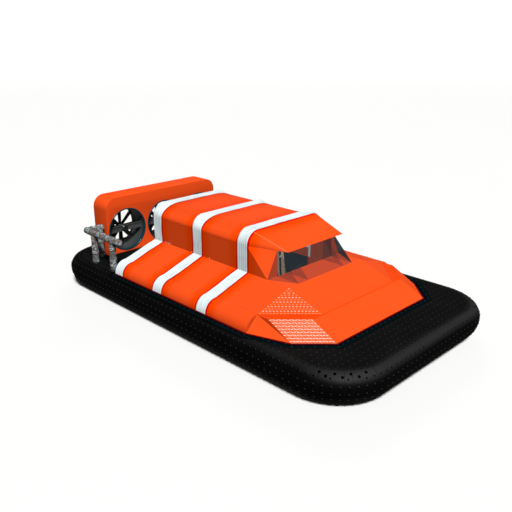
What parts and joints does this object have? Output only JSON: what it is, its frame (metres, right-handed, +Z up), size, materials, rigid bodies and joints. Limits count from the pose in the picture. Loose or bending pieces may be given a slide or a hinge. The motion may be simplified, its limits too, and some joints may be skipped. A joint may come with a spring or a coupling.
{
  "type": "hovercraft",
  "caption": "Light work hovercraft: black bag skirt and deck, orange facetted hull and hollow cabin, ducted fans that spin in a stern housing, linked rudders and a hinged rear door.",
  "frame": {"origin": "on the ground under the middle of the skirt's outline", "axes": "+Z up, the bow points to -Y, port is +X"},
  "size_m": [4.5, 8.08, 1.862],
  "materials": {
    "skirt_rubber": "coated fabric with rows of small studs, satin",
    "deck_rubber": "studded non-slip deck, matt",
    "skid_plastic": "scuffed wear plastic",
    "hull_orange": "painted composite, satin",
    "rudder_teal": "painted aluminium, satin",
    "window_glass": "grey tinted, clear",
    "band_white": "creased coated webbing with grey streaks",
    "duct_metal": "blue-black paint, satin",
    "fan_black": "moulded composite, satin",
    "weathered_pipe": "galvanised, mottled with rust",
    "engine_iron": "plain",
    "seat_plastic": "moulded, fine grain",
    "upholstery": "beige woven cover",
    "cabin_trim": "dark teal, matt"
  },
  "bodies": {
    "craft": {"skirt_front": "skirt_rubber", "skirt_rear": "skirt_rubber", "skirt_port": "skirt_rubber", "skirt_starboard": "skirt_rubber", "platform": "deck_rubber", "landing_skid_port": "skid_plastic", "landing_skid_starboard": "skid_plastic", "bow_deck": "hull_orange", "side_deck_port": "hull_orange", "side_deck_starboard": "hull_orange", "cabin_wall_port": "hull_orange", "cabin_wall_starboard": "hull_orange", "cabin_roof": "hull_orange", "visor": "hull_orange", "pillar_port": "hull_orange", "pillar_starboard": "hull_orange", "dash_shelf": "hull_orange", "rear_bulkhead": "hull_orange", "windscreen_centre": "window_glass", "windscreen_port": "window_glass", "windscreen_starboard": "window_glass", "corner_pane_port": "window_glass", "corner_pane_starboard": "window_glass", "band_forward": "band_white", "band_middle": "band_white", "band_aft": "band_white", "fan_housing": "hull_orange", "duct_port": "duct_metal", "duct_centre": "duct_metal", "duct_starboard": "duct_metal", "rudder_rail_lower": "duct_metal", "rudder_rail_upper": "duct_metal", "pipe_rail": "weathered_pipe", "engine_block": "engine_iron", "seat_shell": "seat_plastic", "seat_cushion": "upholstery", "seat_back": "upholstery", "helm_console": "cabin_trim", "helm_wheel": "seat_plastic"},
    "fan_port": {"fan_port": "fan_black"},
    "fan_centre": {"fan_centre": "fan_black"},
    "fan_starboard": {"fan_starboard": "fan_black"},
    "rudder_port": {"rudder_port": "rudder_teal"},
    "rudder_centre": {"rudder_centre": "rudder_teal"},
    "rudder_starboard": {"rudder_starboard": "rudder_teal"},
    "rear_door": {"rear_door": "hull_orange", "door_window": "window_glass"}
  },
  "joints": [
    {"name": "fan_port_spin", "type": "hinge", "parent": "craft", "child": "fan_port", "pos_m": [1, 3.26, 1.1], "axis": [0, 1, 0], "continuous": true},
    {"name": "fan_centre_spin", "type": "hinge", "parent": "craft", "child": "fan_centre", "pos_m": [0, 3.26, 1.1], "axis": [0, 1, 0], "continuous": true},
    {"name": "fan_starboard_spin", "type": "hinge", "parent": "craft", "child": "fan_starboard", "pos_m": [-1, 3.26, 1.1], "axis": [0, 1, 0], "continuous": true},
    {"name": "rudder_centre_turn", "type": "hinge", "parent": "craft", "child": "rudder_centre", "pos_m": [0, 3.565, 1.1], "axis": [0, 0, 1], "range_deg": [-30, 30]},
    {"name": "rudder_port_turn", "type": "hinge", "parent": "craft", "child": "rudder_port", "pos_m": [1, 3.565, 1.1], "axis": [0, 0, 1], "range_deg": [-30, 30]},
    {"name": "rudder_starboard_turn", "type": "hinge", "parent": "craft", "child": "rudder_starboard", "pos_m": [-1, 3.565, 1.1], "axis": [0, 0, 1], "range_deg": [-30, 30]},
    {"name": "rear_door_swing", "type": "hinge", "parent": "craft", "child": "rear_door", "pos_m": [0.41, 1.978, 1.1], "axis": [0, 0, -1], "range_deg": [0, 100]}
  ],
  "couplings": [
    {"joint": "rudder_port_turn", "follows": "rudder_centre_turn", "ratio": 1},
    {"joint": "rudder_starboard_turn", "follows": "rudder_centre_turn", "ratio": 1}
  ]
}
